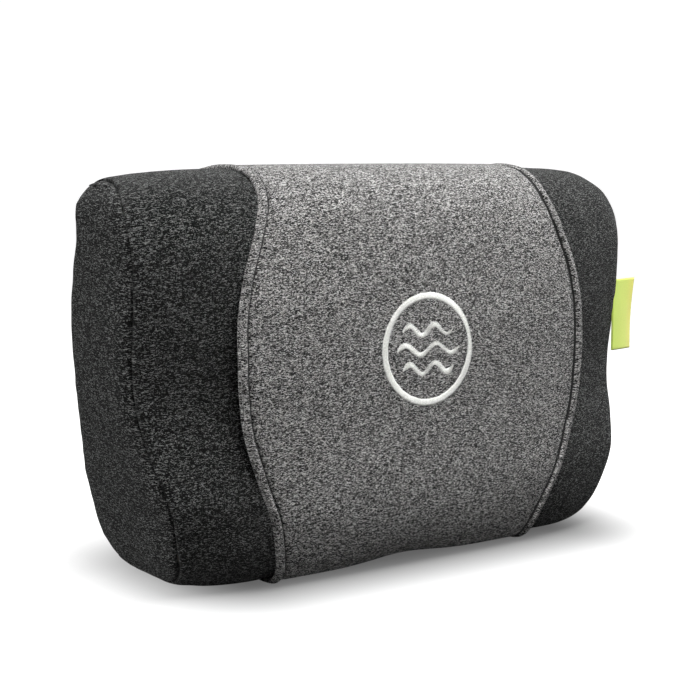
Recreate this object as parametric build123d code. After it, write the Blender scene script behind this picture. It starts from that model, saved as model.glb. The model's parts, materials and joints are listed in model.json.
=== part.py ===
from build123d import *
import os
from math import cos, pi, sin

# Shiatsu massage pillow. Millimetres, +Z up. It stands on its long lower edge, front towards -Y.
# The origin is on the flat of its underside.

# ---- Driving dimensions -------------------------------------------------------------------
TOP = 229.0  # crown of the cover
COVER = 2.5  # knit cover with its backing
FOAM_GAP = 0.3  # between the cover and the foam in it
SEAM_Y = 24.0  # where the front band meets the back panel on top
SEAM_Y_BELOW = 34.0  # the same seam on the underside

TAIL_BAY = (104.0, -2.0, 4.6)  # half-width, back edge and depth of the recess for the flap's tail

HINGE_Z = 205.0  # the flap is loose below this height
HINGE_GAP = 0.5  # each side of the hinge line
PANEL = 1.7  # flap outer cloth
LINING = 1.1  # flap lining
FLAP_BACK_Y = 20.0  # the flap's seam on top
TAIL_END_Y = -4.0  # end of the flap's tail under the pillow
STRIP_X = 90.0  # half-length of the hook and loop strips
STRIP_Y = (-20.0, -6.0)

HOUSING_X = 112.0  # half-width of the drive housing
HOUSING_Z = (26.0, 172.0)
HOUSING_Y = (-5.5, 31.0)
WALL = 2.5
FRAME_T = 3.0  # housing front frame
HOUSING_R = 14.0

MODULE = 1.5
TEETH = 64
WORM_PITCH_R = 7.0
WHEEL_Z = 115.0
WHEEL_Y = 14.0
WHEEL_FACE = 6.0
PITCH = MODULE * pi  # circular pitch of the wheels and lead of the one-start worm
WHEEL_PITCH_R = MODULE * TEETH / 2
WHEEL_X = WHEEL_PITCH_R + WORM_PITCH_R
ADDENDUM = 1.5
DEDENDUM = 1.9
FLANK = 0.2586  # tangent of the pressure angle, 14.5 degrees
TOOTH_T = 1.9  # at the pitch circle
THREAD_T = 1.2
WORM_SPAN = (98.0, 132.0)

SHAFT_R = 4.0  # head shafts
MOTOR_R = 13.85
MOTOR_Z = (46.0, 84.0)
MOTOR_SHAFT_R = 1.15
RUN = 0.05  # radial clearance of a running fit
PRESS = 0.02  # radial gap between a pressed piece and its shaft

POST_X = 30.0  # massage nodes either side of a head's axis
POST_R = 3.0
BALL_R = 20.0
BALL_Y = -21.5
ARM_Y = (-12.0, -7.0)
POST_END_Y = -24.3

MODULE_Y = 4.0  # control module on the right end panel
MODULE_Z = 150.0
BEZEL_X = 176.8
BUTTON_Z = 163.0
LIGHT_Z = 149.0
JACK_Z = 136.0
INLET_R = 2.85
INLET_DEPTH = 7.0  # to the shoulder in front of the centre pin

ZIP_X = 125.0
ZIP_Z = 33.0
ZIP_Y = 55.4
SLIDER_X = 110.0

CELL_R = 9.1
CELL_LENGTH = 65.0
CELLS = ((7.2, 38.0), (18.9, 52.2))  # each cell's axis, as (y, z)
CELL_X = -96.0  # outer end of the cells

BOARD_X = (24.0, 98.0)
BOARD_Z = (32.0, 62.0)
BOARD_Y = 21.0

os.makedirs("parts", exist_ok=True)


def save(name, *solids):
    """Write one sub-part, as one solid or as a group of separate ones."""
    shape = solids[0] if len(solids) == 1 else Compound(children=list(solids))
    export_step(shape, f"parts/{name}.step")


def span_box(x, y, z):
    """A box between two x, two y and two z."""
    size = [abs(b - a) for a, b in (x, y, z)]
    centre = [(a + b) / 2 for a, b in (x, y, z)]
    return Pos(*centre) * Box(*size)


def rod_x(r, x0, x1, y=0.0, z=0.0):
    return Pos((x0 + x1) / 2, y, z) * Rot(0, 90, 0) * Cylinder(r, abs(x1 - x0))


def rod_y(r, y0, y1, x=0.0, z=0.0):
    return Pos(x, (y0 + y1) / 2, z) * Rot(90, 0, 0) * Cylinder(r, abs(y1 - y0))


def rod_z(r, z0, z1, x=0.0, y=0.0):
    return Pos(x, y, (z0 + z1) / 2) * Cylinder(r, abs(z1 - z0))


def outline(corners):
    """Flat face inside a closed run of (a, b, corner radius)."""
    points = [(a, b) for a, b, _ in corners]
    return make_face(FilletPolyline(*points, radius=[r for _, _, r in corners], close=True))


def grown(face, amount):
    return offset(face, amount) if amount else face


def mirrored(right_side):
    """A closed outline from its right half, listed from top to bottom."""
    left = [(-a, b, r) for a, b, r in reversed(right_side)]
    return outline(list(right_side) + left)


def along_x(face, half=260.0):
    """Extrude a (y, z) outline both ways along X."""
    plane = Plane(origin=(0, 0, 0), x_dir=(0, 1, 0), z_dir=(1, 0, 0))
    return extrude(plane * face, amount=half, both=True)


def along_y(face, half=260.0):
    """Extrude an (x, z) outline both ways along Y."""
    return extrude(Plane.XZ * face, amount=half, both=True)


def along_z(face, half=500.0):
    return extrude(face, amount=half, both=True)


# ---- Cover outlines -------------------------------------------------------------------------
# Section through the pillow, (y, z): full lower lobe, slight waist, thin top.
SECTION = outline([
    (-26, 0, 20), (-46, 14, 30), (-58, 46, 40), (-47, 110, 60), (-52, 172, 50), (-49, TOP, 26),
    (31, TOP, 16), (29, 198, 12), (40, 166, 30), (42, 112, 60), (56, 50, 25), (54, 20, 16), (38, 0, 10),
])
# Front view, (x, z): rounded top corners, ends leaning in towards the base. Its middle lies just
# outside the section's top and underside, so that the section alone makes those.
ENDS = [
    (126, TOP + 2, 50), (166, 221, 14), (175.6, 200, 14), (174.8, 135, 60),
    (157.5, 40, 40), (156, 20, 12), (140, 7, 20), (103, -2, 40),
]
FRONT_VIEW = mirrored(ENDS)
# Plan, (x, y): the front rolls away towards the ends.
PLAN_CORNERS = [(168, 60, 8), (177, 48, 10), (177, -36, 8), (160, -50, 40), (120, -62, 60)]
PLAN = mirrored(PLAN_CORNERS)
# Flap section (y, z), outside face, bridging the waist and lying flat under the pillow.
FLAP_SECTION = outline([
    (-53.3, 260, 0), (-53.3, 205, 30), (-56.9, 168, 60), (-58, 100, 60), (-61.8, 46, 40),
    (-50.6, 10.5, 22), (-33, 0.4, 14), (90, 0.4, 0), (90, 260, 0),
])
# Flap seen from the front, (x, z): barrel-shaped.
FLAP_VIEW = mirrored([
    (100, 260, 0), (101.5, 225, 60), (110, 196, 60), (124, 156, 60),
    (124, 98, 60), (109, 54, 50), (101, 26, 30), (96.5, -20, 0),
])


def pillow(inset):
    """The pillow's body, inset evenly, with the bay under it for the flap's tail."""
    body = along_x(grown(SECTION, -inset)) & along_y(grown(FRONT_VIEW, -inset))
    body = body & along_z(grown(PLAN, -inset))
    half, back, depth = TAIL_BAY
    bay = span_box((-half - inset, half + inset), (-90, back + inset), (-10, depth + inset))
    return (body - bay).solids()[0]


def cover_panels():
    """Band, back panel and two end panels, cut from one shell along the seams."""
    shell = (pillow(0) - pillow(COVER)).solids()[0]
    seam = COVER + 0.15
    sides = [(a - seam, b, r) for a, b, r in ENDS[2:6]]
    middle = along_y(mirrored([(sides[0][0], 300, 0)] + sides[1:] + [(sides[-1][0], -50, 0)]))
    band = shell & middle
    behind = span_box((-300, 300), (SEAM_Y, 200), (60, 300))
    below = span_box((-300, 300), (SEAM_Y_BELOW, 200), (-50, 60))
    back = band & (behind + below)
    front = band - (behind + below)
    caps = shell - middle
    left = caps & span_box((-300, 0), (-200, 200), (-50, 300))
    right = caps & span_box((0, 300), (-200, 200), (-50, 300))
    right = right - span_box(
        (150, 200), (MODULE_Y - 11.2, MODULE_Y + 11.2), (MODULE_Z - 26.2, MODULE_Z + 26.2)
    )
    save("cover_front_panel", front.solids()[0])
    save("cover_back_panel", back.solids()[0])
    save("end_panel_left", left.solids()[0])
    save("end_panel_right", right.solids()[0])


# ---- Foam ------------------------------------------------------------------------------------
CAVITY_X = HOUSING_X + 0.6
CAVITY_Z = (HOUSING_Z[0] - 0.6, HOUSING_Z[1] + 0.6)
CAVITY_Y = (HOUSING_Y[0] - 0.6, HOUSING_Y[1] + 0.6)
WINDOW_X = 108.5
WINDOW_Z = (61.0, 169.0)
LINING_Y = -43.9  # mesh lining behind the cover front


def control_lead_path():
    return FilletPolyline(
        (97.3, 17, 48), (118, 17, 49), (137, 14, 64), (147, 9, 92),
        (150, 5, 116), (151, 4, 131), (155.6, 4, 136),
        radius=6,
    )


def tube(path, r):
    """A round lead along a path that starts along its first edge."""
    start = path @ 0
    return sweep(Plane(origin=start, z_dir=path % 0) * Circle(r), path=path)


def foam():
    fill = pillow(COVER + FOAM_GAP)
    top_z = CAVITY_Z[1]
    low_z = CAVITY_Z[0]
    ends = {}
    for side, name in ((-1, "foam_end_left"), (1, "foam_end_right")):
        ends[name] = fill & span_box(
            (side * (CAVITY_X + 0.4), side * 300), (-200, 200), (-50, 300)
        )
    pocket = span_box((150, 200), (MODULE_Y - 12, MODULE_Y + 12), (MODULE_Z - 27, MODULE_Z + 27))
    ends["foam_end_right"] = ends["foam_end_right"] - pocket - tube(control_lead_path(), 3.2)
    for name, shape in ends.items():
        save(name, shape.solids()[0])
    core = fill & span_box((-CAVITY_X, CAVITY_X), (-200, 200), (-50, 300))
    top = core & span_box((-200, 200), (-200, 200), (top_z, 300))
    bottom = core & span_box((-200, 200), (-200, 200), (-50, low_z))
    back = core & span_box((-200, 200), (CAVITY_Y[1], 200), (low_z + 0.2, top_z - 0.2))
    front = core & span_box((-200, 200), (-200, CAVITY_Y[0]), (low_z + 0.2, top_z - 0.2))
    window = span_box((-WINDOW_X, WINDOW_X), (-200, 200), WINDOW_Z)
    save("foam_top", top.solids()[0])
    save("foam_bottom", bottom.solids()[0])
    save("foam_back_pad", back.solids()[0])
    save("foam_front_frame", (front - window).solids()[0])
    lining_x = WINDOW_X - 0.6
    lining_z = (WINDOW_Z[0] + 0.6, WINDOW_Z[1] - 0.6)
    save("window_mesh_lining", span_box((-lining_x, lining_x), (LINING_Y, LINING_Y + 0.8), lining_z))


# ---- Flap, tab and zip -------------------------------------------------------------------------
def flap_layer(outside, inside):
    """Cloth between two depths in the flap, over its whole outline."""
    layer = along_x(grown(FLAP_SECTION, -outside)) - along_x(grown(FLAP_SECTION, -inside))
    loose = span_box((-200, 200), (-100, TAIL_END_Y), (-20, HINGE_Z - HINGE_GAP))
    return layer & loose & along_y(FLAP_VIEW)


def wave(half, row, thick, rise=3.0, bumps=2):
    """A band that follows a sine, (x, z)."""
    top, below = [], []
    for k in range(25):
        x = half * (k / 12 - 1)
        z = row + rise * sin(pi * bumps * x / half)
        top.append((x, z + thick / 2))
        below.append((x, z - thick / 2))
    return make_face(Polyline(*top, *reversed(below), close=True))


def emblem():
    """A plain ring with three waves in it."""
    ring = Circle(32) - Circle(28.6)
    return [ring] + [wave(half, row, 3.4) for half, row in ((18, -11), (22, 0), (18, 11))]


def flap():
    panel = flap_layer(0, PANEL)
    strip_bay = span_box((-STRIP_X, STRIP_X), STRIP_Y, (0.4 + PANEL, 10))
    lining = flap_layer(PANEL, PANEL + LINING) - strip_bay
    save("flap_front_panel", panel.solids()[0])
    save("flap_lining", lining.solids()[0])
    low = 0.4 + PANEL
    strip = (-STRIP_X + 0.1, STRIP_X - 0.1), (STRIP_Y[0] + 0.1, STRIP_Y[1] - 0.1)
    save("flap_hook_strip", span_box(*strip, (low, low + 1.4)))
    save("cover_loop_strip", span_box(*strip, (TAIL_BAY[2] - 0.7, TAIL_BAY[2])))
    raised = along_x(grown(FLAP_SECTION, 0.7)) - along_x(grown(FLAP_SECTION, 0.05))
    front = span_box((-60, 60), (-90, -20), (80, 180))
    pieces = []
    for shape in emblem():
        stitched = raised & front & along_y(Pos(0, 127) * shape)
        pieces += stitched.solids()
    save("flap_emblem", *pieces)
    over = along_x(grown(SECTION, 2.9)) - along_x(grown(SECTION, 0.3))
    kept = span_box((-200, 200), (-100, FLAP_BACK_Y), (HINGE_Z + HINGE_GAP, 300))
    save("flap_top_panel", (over & kept & along_y(FLAP_VIEW)).solids()[0])


def side_tab():
    """Folded ribbon sewn into the front seam of the right end."""
    ribbon = Pos(10, 0, 0) * Box(20, 1.4, 46)
    save("side_tab", Pos(175.3, -38.0, 134) * Rot(0, 0, 12) * ribbon)


def zipper():
    save("zipper_tape", span_box((-ZIP_X, ZIP_X), (ZIP_Y, ZIP_Y + 0.8), (ZIP_Z - 5, ZIP_Z + 5)))
    face = ZIP_Y + 0.8 + 0.35
    body = span_box((SLIDER_X - 6, SLIDER_X + 6), (face, face + 2.2), (ZIP_Z - 3, ZIP_Z + 3))
    pin = rod_y(1.0, face + 2.2, face + 4.6, SLIDER_X, ZIP_Z)
    head = rod_y(1.8, face + 4.6, face + 5.2, SLIDER_X, ZIP_Z)
    save("zipper_slider", body + pin + head)
    near, far = face + 2.5, face + 4.2
    plate = span_box((SLIDER_X - 3, SLIDER_X + 3), (near, far), (ZIP_Z - 19, ZIP_Z))
    eye = rod_y(3.0, near, far, SLIDER_X, ZIP_Z)
    save("zipper_pull", plate + eye - rod_y(1.0 + RUN, near - 1, far + 1, SLIDER_X, ZIP_Z))


# ---- Housing -------------------------------------------------------------------------------------
SCREW_PLACES = [(x, z) for x in (-103.5, 103.5) for z in (34.5, 163.5)] + [(-22, 163.5), (22, 163.5)]
HEAD_SIDES = ((-1, "left"), (1, "right"))
CLAMP_X = 19.5
CLAMP_Z = 65.0
HEAD_DEPTH = 1.7  # counterbore of the housing screws
FRAME_BACK = HOUSING_Y[0] + FRAME_T
REAR_IN = HOUSING_Y[1] - WALL


def housing_block(inset, y0, y1):
    width = 2 * (HOUSING_X - inset)
    height = HOUSING_Z[1] - HOUSING_Z[0] - 2 * inset
    middle = (HOUSING_Z[0] + HOUSING_Z[1]) / 2
    face = Plane.XZ.offset(-y0) * Pos(0, middle) * RectangleRounded(width, height, HOUSING_R - inset)
    return extrude(face, amount=-(y1 - y0))


def housing():
    rear = housing_block(0, FRAME_BACK + 0.05, HOUSING_Y[1]) - housing_block(WALL, FRAME_BACK - 1, REAR_IN)
    front = housing_block(0, HOUSING_Y[0], FRAME_BACK)
    for x, z in SCREW_PLACES:
        rear += rod_y(4.0, FRAME_BACK + 0.05, REAR_IN + 0.5, x, z)
        rear -= rod_y(1.3, FRAME_BACK - 1, FRAME_BACK + 14, x, z)
        front -= rod_y(1.7, HOUSING_Y[0] - 1, FRAME_BACK + 1, x, z)
        front -= rod_y(3.0, HOUSING_Y[0] - 1, HOUSING_Y[0] + HEAD_DEPTH, x, z)
    for side, _ in HEAD_SIDES:
        x = side * WHEEL_X
        rear += rod_y(9.0, 20.0, REAR_IN + 0.5, x, WHEEL_Z)
        rear -= rod_y(6.0, 19.0, REAR_IN + 0.1, x, WHEEL_Z)
        front += rod_y(9.0, HOUSING_Y[0], 4.0, x, WHEEL_Z)
        front -= rod_y(6.0, HOUSING_Y[0] - 1, 5.0, x, WHEEL_Z)
        rear += rod_y(3.2, 20.5, REAR_IN + 0.5, side * CLAMP_X, CLAMP_Z)
        rear -= rod_y(1.3, 19.0, REAR_IN, side * CLAMP_X, CLAMP_Z)
    bracket = span_box((-7, 7), (8.5, REAR_IN + 0.5), (135.5, 142.5))
    rear += bracket
    rear -= rod_z(4.0, 130, 150, 0, WHEEL_Y)
    rear -= rod_x(3.0, 105, 115, 17, 49)
    save("housing_rear_shell", rear.solids()[0])
    save("housing_front_frame", front.solids()[0])
    screws = []
    for x, z in SCREW_PLACES:
        shank = rod_y(1.3 - PRESS, HOUSING_Y[0] + 1, FRAME_BACK + 10, x, z)
        slot = span_box((x - 1.8, x + 1.8), (HOUSING_Y[0] - 1, HOUSING_Y[0] + 0.8), (z - 0.4, z + 0.4))
        head = rod_y(2.8, HOUSING_Y[0] + 0.1, HOUSING_Y[0] + HEAD_DEPTH, x, z) - slot
        screws.append(shank + head)
    save("housing_screws", *screws)


# ---- Drive ---------------------------------------------------------------------------------------
def wheel_teeth(phase):
    """Points of a spur wheel: each tooth narrows evenly from root to tip."""
    points = []
    for tooth in range(TEETH):
        middle = 2 * pi * (tooth + phase) / TEETH
        for side, rise in ((-1, -DEDENDUM), (-1, ADDENDUM), (1, ADDENDUM), (1, -DEDENDUM)):
            r = WHEEL_PITCH_R + rise
            angle = middle + side * (TOOTH_T / 2 - rise * FLANK) / r
            points.append((r * cos(angle), r * sin(angle)))
    return points


def worm_wheel(side, name):
    """A hub, web and rim; its teeth lie between the turns of the thread."""
    x = side * WHEEL_X
    phase = 0.0 if side < 0 else 0.5  # the thread faces +X at the wheels' height, so a gap takes it there
    teeth = make_face(Polyline(*wheel_teeth(phase), close=True))
    place = Pos(x, 0, WHEEL_Z)
    half = WHEEL_FACE / 2
    flat = Plane.XZ.offset(-(WHEEL_Y + half)) * teeth
    gear = place * extrude(flat, amount=WHEEL_FACE)
    for y0, y1 in ((WHEEL_Y - half - 1, WHEEL_Y - 1.5), (WHEEL_Y + 1.5, WHEEL_Y + half + 1)):
        gear -= rod_y(42.0, y0, y1, x, WHEEL_Z) - rod_y(12.0, y0 - 1, y1 + 1, x, WHEEL_Z)
    for k in range(6):
        angle = 2 * pi * (k + 0.5) / 6
        gear -= rod_y(8.5, 0, 30, x + 27 * cos(angle), WHEEL_Z + 27 * sin(angle))
    gear += rod_y(9.0, 5.0, 19.0, x, WHEEL_Z)
    gear -= rod_y(SHAFT_R + PRESS, 0, 30, x, WHEEL_Z)
    save(f"worm_wheel_{name}", gear.solids()[0])


def worm():
    """One-start right-hand thread, twisted up from its cross-section, with a bore for the shaft."""
    def thread_angle(r):
        thick = THREAD_T - 2 * FLANK * (r - WORM_PITCH_R)
        return pi * thick / PITCH

    root = WORM_PITCH_R - DEDENDUM
    tip = WORM_PITCH_R + ADDENDUM
    radii = [root + (tip - root) * k / 6 for k in range(7)]
    up = [(r * cos(thread_angle(r)), r * sin(thread_angle(r))) for r in radii]
    down = [(a, -b) for a, b in up]
    face = make_face(
        Spline(*up)
        + ThreePointArc(up[-1], (tip, 0), down[-1])
        + Spline(*down)
        + ThreePointArc(down[0], (-root, 0), up[0])
    )
    low, high = WORM_SPAN
    length = high - low
    turned = Solid.extrude_linear_with_rotation(
        face.face().outer_wire(), (0, 0, 0), (0, 0, length), 360 * length / PITCH
    )
    # The thread faces +X at every whole pitch above the worm's foot, so it is set to face +X at WHEEL_Z.
    lead_in = (WHEEL_Z - low) % PITCH
    shaped = Pos(0, WHEEL_Y, low) * Rot(0, 0, -360 * lead_in / PITCH) * turned
    save("worm", shaped - rod_z(MOTOR_SHAFT_R + PRESS, low - 1, high + 1, 0, WHEEL_Y))


def motor():
    low, high = MOTOR_Z
    can = rod_z(MOTOR_R, low, high, 0, WHEEL_Y) - rod_z(MOTOR_R - 1.2, low - 1, high - 1.2, 0, WHEEL_Y)
    can += rod_z(5.0, high, high + 3, 0, WHEEL_Y)
    can -= rod_z(MOTOR_SHAFT_R + RUN, high - 5, high + 5, 0, WHEEL_Y)
    save("motor_can", can)
    cap = rod_z(MOTOR_R - 1.25, low, low + 3, 0, WHEEL_Y) + rod_z(5.0, low - 3, low, 0, WHEEL_Y)
    cap -= rod_z(MOTOR_SHAFT_R + RUN, low - 5, low + 5, 0, WHEEL_Y)
    for x in (-8.0, 8.0):
        cap += span_box((x - 1.2, x + 1.2), (WHEEL_Y - 0.3, WHEEL_Y + 0.3), (low - 4, low + 1))
    save("motor_end_cap", cap.solids()[0])
    ring = rod_z(MOTOR_R - 1.25, low + 7, high - 5, 0, WHEEL_Y) - rod_z(10.4, low, high, 0, WHEEL_Y)
    gap = span_box((-4, 4), (-20, 50), (low, high))
    save("motor_magnets", *(ring - gap).solids())
    rotor = rod_z(9.7, low + 9, high - 7, 0, WHEEL_Y)
    for k in range(3):
        angle = 2 * pi * k / 3
        rotor -= rod_z(2.6, low, high, 8.6 * cos(angle), WHEEL_Y + 8.6 * sin(angle))
    rotor += rod_z(3.2, low + 4.5, low + 9, 0, WHEEL_Y)
    rotor -= rod_z(MOTOR_SHAFT_R + PRESS, low, high, 0, WHEEL_Y)
    save("motor_armature", rotor.solids()[0])
    save("motor_shaft", rod_z(MOTOR_SHAFT_R, low - 4, 142.0, 0, WHEEL_Y))
    bush = rod_z(4.0 - PRESS, 135.5, 142.5, 0, WHEEL_Y)
    save("worm_end_bush", bush - rod_z(MOTOR_SHAFT_R + RUN, 130, 150, 0, WHEEL_Y))
    strap = rod_z(MOTOR_R + 1.4, CLAMP_Z - 4, CLAMP_Z + 4, 0, WHEEL_Y)
    strap = strap & span_box((-30, 30), (-20, WHEEL_Y), (0, 200))
    reach = MOTOR_R + 1.4
    strap += span_box((-reach, reach), (WHEEL_Y, 20.5), (CLAMP_Z - 4, CLAMP_Z + 4))
    strap += span_box((-CLAMP_X - 4, CLAMP_X + 4), (19.0, 20.5), (CLAMP_Z - 4, CLAMP_Z + 4))
    strap -= rod_z(MOTOR_R + 0.05, 0, 200, 0, WHEEL_Y)
    strap -= span_box((-MOTOR_R - 0.05, MOTOR_R + 0.05), (WHEEL_Y, 40), (0, 200))
    for side, _ in HEAD_SIDES:
        strap -= rod_y(1.7, 15, 25, side * CLAMP_X, CLAMP_Z)
    save("motor_clamp", strap.solids()[0])
    screws = [
        rod_y(1.3 - PRESS, 19.0, 26.5, side * CLAMP_X, CLAMP_Z) + rod_y(2.8, 17.4, 19.0, side * CLAMP_X, CLAMP_Z)
        for side, _ in HEAD_SIDES
    ]
    save("motor_clamp_screws", *screws)


def head(side, name):
    """One massage head: shaft, bushes, two-ended arm, two freely spinning nodes and their screws."""
    x = side * WHEEL_X
    save(f"head_shaft_{name}", rod_y(SHAFT_R, ARM_Y[0], 27.0, x, WHEEL_Z))
    bushes = []
    for y0, y1 in ((HOUSING_Y[0] + 0.2, 4.0), (20.2, REAR_IN)):
        bush = rod_y(6.0 - PRESS, y0, y1, x, WHEEL_Z) - rod_y(SHAFT_R + RUN, y0 - 1, y1 + 1, x, WHEEL_Z)
        bushes.append(bush)
    save(f"shaft_bushes_{name}", *bushes)
    arm = span_box((x - POST_X, x + POST_X), ARM_Y, (WHEEL_Z - 7, WHEEL_Z + 7))
    arm += rod_y(11.0, *ARM_Y, x, WHEEL_Z)
    arm -= rod_y(SHAFT_R + PRESS, ARM_Y[0] - 1, ARM_Y[1] + 1, x, WHEEL_Z)
    screws = []
    for end, letter in ((-1, "a"), (1, "b")):
        post_x = x + end * POST_X
        arm += rod_y(9.0, *ARM_Y, post_x, WHEEL_Z)
        arm += rod_y(POST_R, POST_END_Y, ARM_Y[0] + 0.5, post_x, WHEEL_Z)
        arm -= rod_y(1.3, POST_END_Y - 1, ARM_Y[0], post_x, WHEEL_Z)
        ball = Pos(post_x, BALL_Y, WHEEL_Z) * Sphere(BALL_R)
        ball = ball & span_box((post_x - 30, post_x + 30), (-60, ARM_Y[0] - 0.3), (50, 180))
        ball -= rod_y(POST_R + RUN, -60, 0, post_x, WHEEL_Z)
        ball -= rod_y(5.2, -60, POST_END_Y + 0.3, post_x, WHEEL_Z)
        save(f"massage_node_{name}_{letter}", ball.solids()[0])
        shank = rod_y(1.3 - PRESS, POST_END_Y, ARM_Y[0] - 2, post_x, WHEEL_Z)
        screws.append(shank + rod_y(4.6, POST_END_Y - 2.2, POST_END_Y, post_x, WHEEL_Z))
    save(f"massage_arm_{name}", arm.solids()[0])
    save(f"node_screws_{name}", *screws)


# ---- Power and control -----------------------------------------------------------------------------
def power():
    x0, x1 = CELL_X, CELL_X + CELL_LENGTH
    save("battery_cells", *[rod_x(CELL_R, x0, x1, y, z) for y, z in CELLS])
    tray = span_box((x0 - 1.5, x1 + 1.5), (FRAME_BACK + 0.6, REAR_IN), (HOUSING_Z[0] + WALL, 47.0))
    tray -= span_box((x0 - 0.2, x1 + 0.2), (FRAME_BACK - 5, REAR_IN + 1), (CELLS[0][1], 60))
    for y, z in CELLS:
        tray -= rod_x(CELL_R + 0.1, x0 - 0.2, x1 + 0.2, y, z)
    save("battery_tray", tray.solids()[0])
    board = span_box(BOARD_X, (BOARD_Y, BOARD_Y + 1.6), BOARD_Z)
    save("control_board", board)
    front = BOARD_Y
    chips = [
        span_box((34, 42), (front - 1.8, front), (42, 50)),
        span_box((50, 62), (front - 9, front), (36, 46)),
        span_box((70, 78), (front - 4.5, front), (50, 58)),
        span_box((90, 97), (front - 6.5, front), (43, 53)),
        span_box((26, 32), (front - 9, front), (34, 40)),
        rod_y(4.0, front - 10, front, 82, 40),
    ]
    save("board_components", *chips)


def leads():
    motor_pair = []
    for y in (12.8, 15.2):
        path = FilletPolyline((8, y, 41.8), (9, y, 36.5), (17, y, 35), (25.3, y + 0.4, 36.8), radius=4)
        motor_pair.append(tube(path, 0.8))
    save("motor_leads", *motor_pair)
    battery_pair = []
    for z in (30.6, 32.6):
        path = FilletPolyline(
            (-29.2, 22, z), (-14, 24, z), (3, 24, z + 1), (15, 22, z + 3), (25.3, 18.6, z + 5), radius=9
        )
        battery_pair.append(tube(path, 0.8))
    save("battery_leads", *battery_pair)
    save("control_lead", tube(control_lead_path(), 2.0))


def controls():
    y, z = MODULE_Y, MODULE_Z
    cup = span_box((154, BEZEL_X - 1), (y - 11, y + 11), (z - 26, z + 26))
    cup -= span_box((150, BEZEL_X - 2.5), (y - 9.4, y + 9.4), (z - 24.4, z + 24.4))
    face = Plane.YZ.offset(BEZEL_X - 1.3) * Pos(y, z) * RectangleRounded(30, 60, 12)
    cup += extrude(face, amount=1.3)
    cup -= rod_x(8.8, 170, 180, y, BUTTON_Z)
    cup -= rod_x(2.1, 170, 180, y, LIGHT_Z)
    cup -= rod_x(5.1, 170, 180, y, JACK_Z)
    save("control_bezel", cup.solids()[0])
    cap = rod_x(8.5, 170.3, 178.2, y, BUTTON_Z) + rod_x(9.3, 170.3, 173.5, y, BUTTON_Z)
    cap -= rod_x(3.4, 170, 172, y, BUTTON_Z)
    save("power_button", cap)
    spring = rod_x(3.0, 159.2, 170.2, y, BUTTON_Z) - rod_x(2.4, 158, 172, y, BUTTON_Z)
    save("button_spring", spring)
    save("switch_board", span_box((157.4, 159.0), (y - 9.2, y + 9.2), (z - 24.2, z + 24.2)))
    save("status_light_lens", rod_x(2.0, 172.5, BEZEL_X + 0.4, y, LIGHT_Z))
    jack = rod_x(5.0, 163, BEZEL_X, y, JACK_Z) - rod_x(INLET_R, BEZEL_X - INLET_DEPTH, 180, y, JACK_Z)
    jack -= rod_x(2.0, 165, 175, y, JACK_Z)
    jack += rod_x(1.05, 163, BEZEL_X - INLET_DEPTH - 0.8, y, JACK_Z)
    jack += span_box((159.2, 164), (y - 5, y + 5), (JACK_Z - 5, JACK_Z + 5))
    save("charge_jack", jack)


cover_panels()
foam()
flap()
side_tab()
zipper()
housing()
for wheel_side, wheel_name in HEAD_SIDES:
    worm_wheel(wheel_side, wheel_name)
    head(wheel_side, wheel_name)
worm()
motor()
power()
leads()
controls()
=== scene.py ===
import json
import math

import bmesh
import bpy
import numpy as np
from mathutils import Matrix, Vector, noise


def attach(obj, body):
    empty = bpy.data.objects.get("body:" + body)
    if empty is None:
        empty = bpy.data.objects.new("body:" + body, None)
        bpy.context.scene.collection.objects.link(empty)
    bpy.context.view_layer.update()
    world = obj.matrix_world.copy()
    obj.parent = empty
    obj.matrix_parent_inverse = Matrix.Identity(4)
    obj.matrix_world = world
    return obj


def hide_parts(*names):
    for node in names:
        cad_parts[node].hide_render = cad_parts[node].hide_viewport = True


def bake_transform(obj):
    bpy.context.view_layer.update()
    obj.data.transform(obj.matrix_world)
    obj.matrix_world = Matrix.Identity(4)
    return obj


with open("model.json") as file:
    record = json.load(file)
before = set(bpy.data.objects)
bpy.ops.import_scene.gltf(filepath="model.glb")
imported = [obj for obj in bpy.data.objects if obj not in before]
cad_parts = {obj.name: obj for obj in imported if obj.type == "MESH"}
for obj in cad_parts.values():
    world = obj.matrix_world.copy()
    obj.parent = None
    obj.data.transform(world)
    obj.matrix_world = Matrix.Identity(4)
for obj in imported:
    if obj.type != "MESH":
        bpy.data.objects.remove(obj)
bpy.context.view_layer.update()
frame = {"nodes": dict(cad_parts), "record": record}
MM = 0.001

# Lengths are millimetres until a mesh is made from them, except in the stage and where metres are named.

# ---- Driving sizes ----
CLOTH = 1.8  # thickness of the cover's panels
# How late the section rolls away towards the ends, point for point with the sections below.
ROLL = np.array([9.0] * 3 + [7] + [5] * 9 + [6] + [8] * 5 + [6] * 9 + [9] * 2)
END_BULGE, END_BULGE_RUN = 5.0, 9.0  # an end panel's crown, and how far in from its seam it has risen
VALLEY = (1.1, 3.6)  # depth and spread of the soft valley along a seam
CREASE = (1.7, 0.8)  # and of the crease in it where the panels turn in
STEP = 2.0  # spacing of the cover's mesh

# Section at the middle of the pillow, (y, z), from under it, up the front, over and down the back.
MIDDLE = np.array([
    (10, 0), (-24, 0.4), (-41, 5.5), (-50.5, 17), (-56, 33), (-57.5, 52), (-54, 70), (-49.5, 90),
    (-47.5, 110), (-49, 130), (-51, 150), (-52, 170), (-50.5, 190), (-46.5, 204), (-37.5, 217.8),
    (-23, 226.4), (-5, 229.5), (15, 227.5), (27, 220.5), (31, 207), (31.5, 192), (37.5, 172),
    (41, 150), (42.5, 115), (47, 82), (53, 60), (55.2, 40), (52, 20), (42, 6), (28, 0.6),
], float)
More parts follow.
